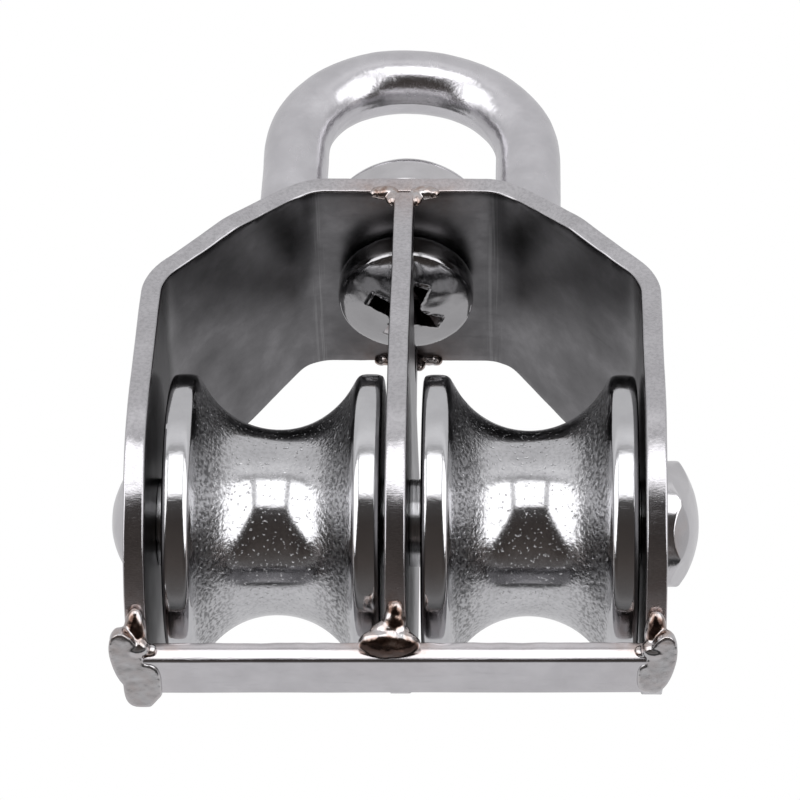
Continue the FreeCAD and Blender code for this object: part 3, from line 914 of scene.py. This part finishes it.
def close_steel(parts):
    """Joins a recipe's colour, roughness and height to its shader."""
    tree, shader = parts["tree"], parts["shader"]
    bump = add(tree, "ShaderNodeBump", Height=parts["height"], Strength=1.0, Distance=MM)
    tree.links.new(parts["colour"], shader.inputs["Base Color"])
    tree.links.new(parts["rough"], shader.inputs["Roughness"])
    tree.links.new(bump.outputs[0], shader.inputs["Normal"])
    return parts["material"]


def sheet_material():
    """Rolled sheet: polished outside, rougher inside with painted shade darkening the inner faces, and brushed
    sawn edges.
    """
    parts = steel("sheet_steel", (0.62, 0.61, 0.625), 0.16, (0.25, 3.0, 0.25), 0.0012, 0.0006, tint=0.3,
                  patches=0.35)
    tree, place = parts["tree"], parts["place"]
    inner, cut, fold = attribute(tree, "inner"), attribute(tree, "cut"), attribute(tree, "fold")
    # Inner faces away from their rims: rougher there, and painted shade darkens their colour to 0.22-0.42 of the
    # steel's, standing in for the shade between the parts.
    dull_and_shaded = maths(tree, "MULTIPLY", inner, maths(tree, "SUBTRACT", 1.0, cut))
    painted_inner_shade = ramp(tree, cloud(tree, place, 0.22, 5.0, 0.6), [(0.3, 0.22), (0.52, 0.3), (0.72, 0.42)])
    dark = mixed(tree, 1.0, parts["colour"], painted_inner_shade, "MULTIPLY")
    parts["colour"] = mixed(tree, dull_and_shaded, parts["colour"], dark)
    press = cloud(tree, stretched(tree, place, (6.0, 0.1, 0.1)), 1.0, 2.0)
    press = ramp(tree, press, [(0.5, 0.0), (0.6, 1.0)])
    press = maths(tree, "MULTIPLY", press, maths(tree, "MULTIPLY", fold, dull_and_shaded))
    parts["colour"] = mixed(tree, maths(tree, "MULTIPLY", press, 0.25), parts["colour"], (0.5, 0.5, 0.5))
    brush = cloud(tree, stretched(tree, place, (3.5, 14.0, 3.5)), 1.0, 3.0)
    parts["rough"] = maths(tree, "MULTIPLY_ADD", dull_and_shaded, 0.15, parts["rough"])
    parts["rough"] = maths(tree, "MULTIPLY_ADD", cut, 0.03, parts["rough"])
    relief = maths(tree, "MULTIPLY", brush, cut)
    parts["height"] = maths(tree, "MULTIPLY_ADD", relief, 0.006, parts["height"])
    streaks = mixed(tree, 1.0, parts["colour"], ramp(tree, brush, [(0.35, 0.84), (0.6, 1.0)]), "MULTIPLY")
    parts["colour"] = mixed(tree, cut, parts["colour"], streaks)
    return close_steel(parts)


def sheave_material():
    """Cast steel: polished floor and rims, pitted and darker flanks."""
    parts = steel("cast_sheave_steel", (0.64, 0.64, 0.65), 0.11, (0.5, 6.0, 6.0), 0.0006)
    tree, place = parts["tree"], parts["place"]
    grain, rope_side = attribute(tree, "grain"), attribute(tree, "rope_side")
    pits = cloud(tree, place, 3.2, 2.0, 0.5)
    relief = maths(tree, "MULTIPLY", pits, maths(tree, "MULTIPLY_ADD", grain, 0.06, 0.004))
    specks = ramp(tree, cloud(tree, place, 3.4, 1.0), [(0.27, 1.0), (0.34, 0.0)])
    specks = maths(tree, "MULTIPLY", specks, rope_side)
    relief = maths(tree, "MULTIPLY_ADD", specks, -0.035, relief)
    parts["height"] = maths(tree, "ADD", relief, parts["height"])
    worn = maths(tree, "MAXIMUM", grain, maths(tree, "MULTIPLY", rope_side, 0.16))
    dirt = ramp(tree, pits, [(0.4, 0.28), (0.5, 0.8), (0.6, 1.0)])
    dirty = mixed(tree, 1.0, parts["colour"], dirt, "MULTIPLY")
    parts["colour"] = mixed(tree, maths(tree, "MULTIPLY", worn, 0.85), parts["colour"], dirty)
    parts["rough"] = maths(tree, "MULTIPLY_ADD", grain, 0.18, parts["rough"])
    return close_steel(parts)


def eye_material():
    """Tumbled casting: soft mirror with fine dimples."""
    parts = steel("cast_eye_steel", (0.68, 0.67, 0.69), 0.22, (2.0, 2.0, 0.3), 0.0008, 0.0035)
    tree = parts["tree"]
    dimples = cloud(tree, parts["place"], 1.6, 4.0)
    parts["height"] = maths(tree, "MULTIPLY_ADD", dimples, 0.03, parts["height"])
    return close_steel(parts)


def rivet_material():
    """Formed steel, lightly brushed along the axle."""
    parts = steel("rivet_steel", (0.66, 0.65, 0.66), 0.14, (4.0, 0.6, 0.6), 0.001, 0.002)
    return close_steel(parts)


def bush_material():
    """Turned steel: fine rings round the axle."""
    parts = steel("bush_steel", (0.58, 0.58, 0.59), 0.2, (9.0, 0.1, 0.1), 0.004, 0.001)
    return close_steel(parts)


def screw_material():
    """Polished steel, with painted shade darkening its recess."""
    parts = steel("screw_steel", (0.4, 0.395, 0.4), 0.13, (3.0, 3.0, 0.6), 0.0015, 0.002)
    tree = parts["tree"]
    # Painted shade: the recess is coloured near black.
    parts["colour"] = mixed(tree, attribute(tree, "recess"), parts["colour"], (0.11, 0.1, 0.1))
    return close_steel(parts)


def weld_material():
    """Bright weld metal, with straw, copper and brown tint in patches."""
    parts = steel("weld_metal", (0.58, 0.575, 0.58), 0.14, (1.0, 1.0, 1.0), 0.001, 0.002, tint=1.0,
                  patches=1.0)
    return close_steel(parts)


MATERIALS = {"sheet_steel": sheet_material(), "cast_sheave_steel": sheave_material(),
             "cast_eye_steel": eye_material(), "rivet_steel": rivet_material(),
             "bush_steel": bush_material(), "screw_steel": screw_material(), "weld_metal": weld_material()}


# ---------------------------------------------------------------- studio

# Brightness of the studio round the X axis: degrees from the front towards the top, and level
STUDIO = [(-180, 0.72), (-146, 0.78), (-129, 0.74), (-126, 0.06), (-113, 0.04), (-108, 0.16), (-103, 0.24),
          (-96, 0.15), (-80, 0.1), (-60, 0.07), (-40, 0.06), (-22, 0.09), (-18, 2.3), (12, 2.3), (15, 0.5),
          (19, 0.5), (23, 0.85), (31, 0.95), (45, 0.74), (93, 0.7), (180, 0.72)]
BRIGHTEST = 2.5               # level that the ramp's white stands for
SIDE_START = 0.36             # how far to the side the flags and boxes begin to change


def make_world():
    """White backdrop to the eye, and a studio of soft boxes and dark flags to the steel."""
    world = bpy.data.worlds.new("studio")
    bpy.context.scene.world = world
    world.use_nodes = True
    tree = world.node_tree
    tree.nodes.clear()
    direction = add(tree, "ShaderNodeTexCoord").outputs["Generated"]
    axes = add(tree, "ShaderNodeSeparateXYZ", Vector=direction).outputs
    front = maths(tree, "MULTIPLY", axes["Y"], -1.0)
    angle = maths(tree, "MULTIPLY", maths(tree, "ARCTAN2", axes["Z"], front), 180 / math.pi)
    side = maths(tree, "ABSOLUTE", axes["X"])
    near = add(tree, "ShaderNodeMapRange", Value=angle, From_Min=-95.0, From_Max=-72.0).outputs[0]
    spread = add(tree, "ShaderNodeMapRange", Value=side, From_Min=SIDE_START, From_Max=0.8,
                 To_Max=52.0).outputs[0]
    spread = maths(tree, "MULTIPLY_ADD", spread, near, angle)
    angle = maths(tree, "MINIMUM", spread, maths(tree, "MAXIMUM", angle, 0.0))
    turn = maths(tree, "MULTIPLY_ADD", angle, 1 / 360, 0.5)
    level = ramp(tree, turn, [((degrees + 180) / 360, value / BRIGHTEST) for degrees, value in STUDIO])
    level = maths(tree, "MULTIPLY", level, BRIGHTEST)
    seam = maths(tree, "COMPARE", side, SIDE_START, 0.05)
    bright = maths(tree, "GREATER_THAN", level, 1.2)
    level = maths(tree, "MULTIPLY_ADD", maths(tree, "MULTIPLY", seam, bright), -1.45, level)
    edge = add(tree, "ShaderNodeMapRange", {"interpolation_type": "SMOOTHSTEP"}, Value=side, From_Min=0.84,
               From_Max=0.99).outputs[0]
    level = maths(tree, "ADD", maths(tree, "MULTIPLY", level, maths(tree, "SUBTRACT", 1.0, edge)),
                  maths(tree, "MULTIPLY", edge, 0.55))
    tone = ramp(tree, turn, [(0.2, (0.985, 0.98, 1.0)), (0.3, (1.0, 0.86, 0.8)), (0.38, (1.0, 0.86, 0.8)),
                             (0.45, (0.985, 0.98, 1.0))])
    steel_sees = add(tree, "ShaderNodeBackground", Color=tone, Strength=level)
    eye_sees = add(tree, "ShaderNodeBackground", Color=(1.0, 1.0, 1.0, 1.0), Strength=1.0)
    seen = add(tree, "ShaderNodeLightPath").outputs["Is Camera Ray"]
    blend = add(tree, "ShaderNodeMixShader", i0=seen, i1=steel_sees.outputs[0], i2=eye_sees.outputs[0])
    add(tree, "ShaderNodeOutputWorld", Surface=blend.outputs[0])


def make_floor():
    """Plain pale floor, well below the block."""
    size = 8.0
    drop = -0.62
    shell = bmesh.new()
    bmesh.ops.create_grid(shell, x_segments=8, y_segments=8, size=size)
    bmesh.ops.translate(shell, verts=shell.verts, vec=(0, 0, drop))
    mesh = bpy.data.meshes.new("floor")
    shell.to_mesh(mesh)
    shell.free()
    floor = bpy.data.objects.new("floor", mesh)
    bpy.context.scene.collection.objects.link(floor)
    floor.visible_glossy = False
    floor.visible_diffuse = False
    material = bpy.data.materials.new("floor")
    material.use_nodes = True
    tree = material.node_tree
    place = add(tree, "ShaderNodeTexCoord").outputs["Object"]
    tone = ramp(tree, cloud(tree, place, 3.0), [(0.3, 0.86), (0.7, 0.9)])
    shader = tree.nodes["Principled BSDF"]
    tree.links.new(tone, shader.inputs["Base Color"])
    shader.inputs["Roughness"].default_value = 0.8
    mesh.materials.append(material)


def make_camera():
    """Long lens from below and in front, a little to the right, with the eye at the top of the view."""
    tilt, pan, roll = math.radians(42.532), math.radians(2.153), math.radians(1.632)
    distance, shift_right, shift_up = 321.721, 0.033, 10.318
    back = Vector((math.sin(pan) * math.cos(tilt), -math.cos(pan) * math.cos(tilt), -math.sin(tilt)))
    level = Vector((math.cos(pan), math.sin(pan), 0))
    raised = back.cross(level)
    right = level * math.cos(roll) + raised * math.sin(roll)
    up = raised * math.cos(roll) - level * math.sin(roll)
    place = AXLE + (back * distance + right * shift_right + up * shift_up) * MM
    data = bpy.data.cameras.new("camera")
    data.lens = 172.4
    data.sensor_width = 36.0
    data.clip_start, data.clip_end = 0.01, 20.0
    camera = bpy.data.objects.new("camera", data)
    bpy.context.scene.collection.objects.link(camera)
    camera.matrix_world = Matrix.Translation(place) @ Matrix((right, up, back)).transposed().to_4x4()
    bpy.context.scene.camera = camera


make_camera()
make_world()
make_floor()
make_strap()
make_plate()
make_bar()
make_rivet()
make_screw()
make_barrel()
make_eye()
make_welds()
for side_name in ("left", "right"):
    make_sheave(side_name)
    make_bush(side_name)
bpy.context.scene.view_settings.view_transform = "Standard"
